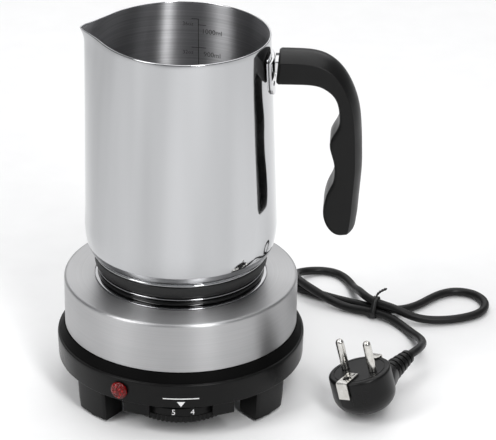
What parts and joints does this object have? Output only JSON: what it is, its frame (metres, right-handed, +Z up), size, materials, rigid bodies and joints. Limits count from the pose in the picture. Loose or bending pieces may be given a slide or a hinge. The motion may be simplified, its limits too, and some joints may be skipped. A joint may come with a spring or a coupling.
{
  "type": "candle melting pot on electric hot plate",
  "caption": "Steel pouring pot with spout and black handle standing on a round electric hot plate with thumb-wheel thermostat, red indicator and an earthed plug on its tied mains lead.",
  "frame": {"origin": "bottom centre, on the floor, of the box round hot plate and pot, without the lead and what is on it", "axes": "+Z up, +X towards the pot's handle, -Y towards the front with the indicator and the dial"},
  "size_m": [0.2689, 0.2092, 0.2216],
  "materials": {
    "moulded_base": "black moulded heat-resistant plastic, semi-gloss",
    "control_dial": "black moulded plastic, ribbed rim, white numbers",
    "brushed_housing": "brushed stainless steel, brush lines round the axis",
    "trim_ring": "polished steel ring",
    "heating_plate": "black heat-resistant coating on cast iron",
    "pot_steel": "polished stainless steel, finely brushed inside",
    "bracket_steel": "polished stainless steel",
    "handle_grip": "black phenolic resin, satin",
    "zinc_hardware": "zinc-plated steel",
    "zinc_sheet": "zinc-plated sheet steel",
    "rubber_feet": "black rubber, matt",
    "element_sheath": "oxidised steel sheath",
    "mica": "pressed mica board",
    "ceramic": "glazed ceramic",
    "indicator_lens": "clear red moulded lens",
    "lamp_glass": "neon lamp glass",
    "terminal_nylon": "natural nylon",
    "fuse_can": "drawn aluminium can",
    "wire_brown": "silicone insulation, brown",
    "wire_blue": "silicone insulation, blue",
    "wire_green_yellow": "silicone insulation, green and yellow",
    "lead_rubber": "black flexible PVC, satin",
    "tie_plastic": "black plastic-covered wire",
    "plug_plastic": "black moulded PVC, semi-gloss",
    "nickel_contacts": "nickel-plated brass"
  },
  "bodies": {
    "hot_plate": {"base_ring": "moulded_base", "bottom_cover": "zinc_sheet", "cover_screw_1": "zinc_hardware", "cover_screw_2": "zinc_hardware", "cover_screw_3": "zinc_hardware", "cover_screw_4": "zinc_hardware", "foot_pad_front_left": "rubber_feet", "foot_pad_front_right": "rubber_feet", "foot_pad_back_left": "rubber_feet", "foot_pad_back_right": "rubber_feet", "housing_shell": "brushed_housing", "trim_ring": "trim_ring", "heating_plate": "heating_plate", "heating_element": "element_sheath", "insulation_disc": "mica", "heat_shield": "zinc_sheet", "plate_stud": "zinc_hardware", "clamp_bar": "zinc_sheet", "stud_washer": "zinc_hardware", "stud_nut": "zinc_hardware", "thermostat_body": "ceramic", "thermostat_strap": "zinc_sheet", "indicator_lens": "indicator_lens", "lens_retainer": "zinc_hardware", "indicator_lamp": "lamp_glass", "terminal_block": "terminal_nylon", "thermal_fuse": "fuse_can", "earth_screw": "zinc_hardware", "wire_live": "wire_brown", "wire_neutral": "wire_blue", "wire_earth": "wire_green_yellow", "cord_gland": "lead_rubber", "power_cord": "lead_rubber", "cord_tie": "tie_plastic", "plug_body": "plug_plastic", "plug_boot": "plug_plastic", "plug_pin_left": "nickel_contacts", "plug_pin_right": "nickel_contacts", "earth_clip_near_lead": "nickel_contacts", "earth_clip_with_hole": "nickel_contacts"},
    "dial": {"control_dial": "control_dial", "thermostat_shaft": "zinc_hardware"},
    "pot": {"pot_body": "pot_steel", "pot_base_disc": "pot_steel", "handle_bracket": "bracket_steel", "handle_grip": "handle_grip", "handle_screw": "zinc_hardware"}
  },
  "joints": [
    {"name": "pot_lift", "type": "slide", "parent": "hot_plate", "child": "pot", "axis": [0, 0, 1], "range_m": [0, 0.12]},
    {"name": "dial_turn", "type": "hinge", "parent": "hot_plate", "child": "dial", "pos_m": [-0.0154, -0.04, 0.014], "axis": [0, 0, 1], "range_deg": [-97, 11]}
  ]
}
